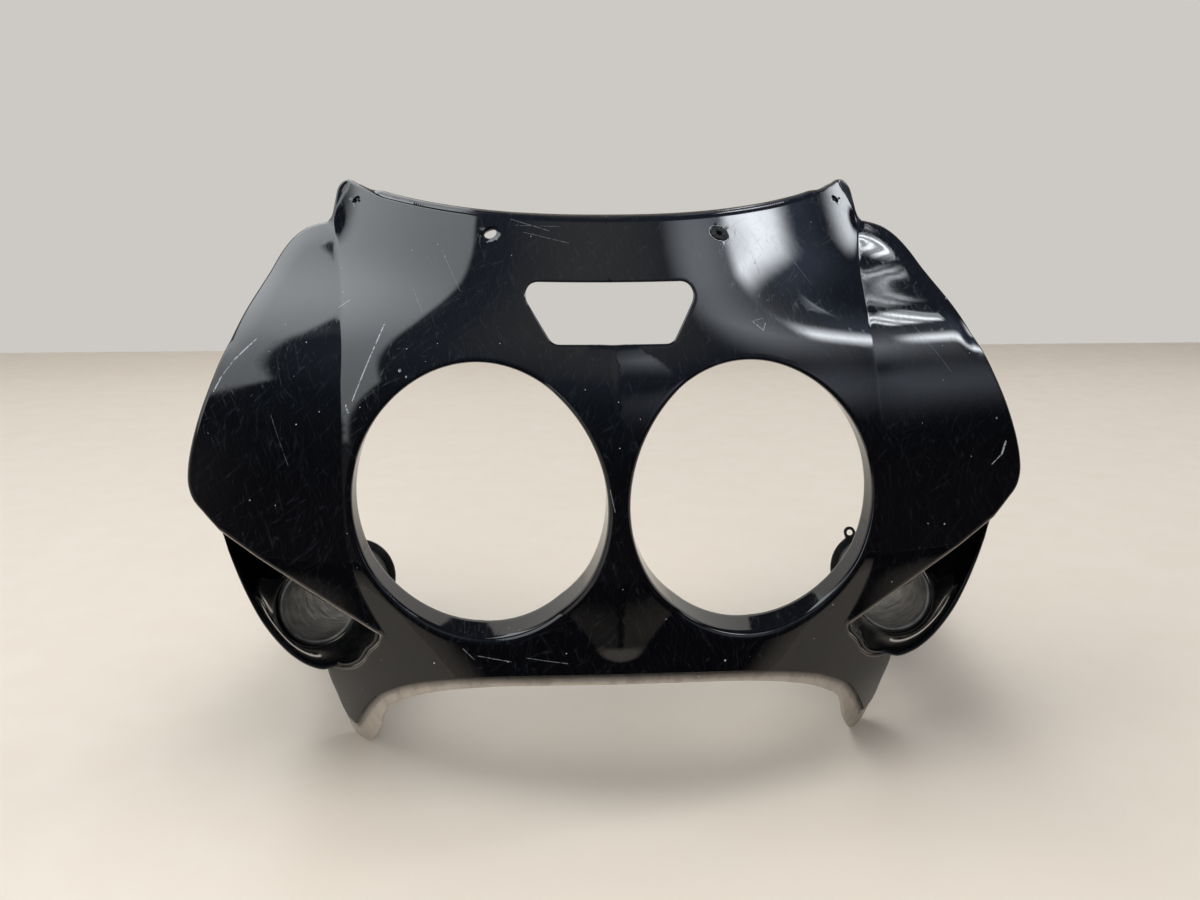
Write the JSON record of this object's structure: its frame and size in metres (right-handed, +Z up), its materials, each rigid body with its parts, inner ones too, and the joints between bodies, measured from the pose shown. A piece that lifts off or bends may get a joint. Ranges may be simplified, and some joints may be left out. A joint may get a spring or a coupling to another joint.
{
  "type": "motorcycle front fairing",
  "caption": "Twin-lamp motorcycle nose fairing with side wings, display slot, ram-air scoops and duct pipes.",
  "frame": {"origin": "on the ground under the centre of the box round the part as it stands", "axes": "+X from the left wing tip to the right one as seen from the front, -Y the way the face looks, +Z up"},
  "size_m": [0.49, 0.2644, 0.327],
  "materials": {
    "gloss_black_moulding": "gloss black moulded plastic with fine scratches",
    "duct_plastic": "matte dark grey, dusty",
    "well_nut_rubber": "matte black rubber"
  },
  "bodies": {
    "root": {"fairing_shell": "gloss_black_moulding", "left_duct_pipe": "duct_plastic", "right_duct_pipe": "duct_plastic", "well_nut": "well_nut_rubber"}
  },
  "joints": []
}
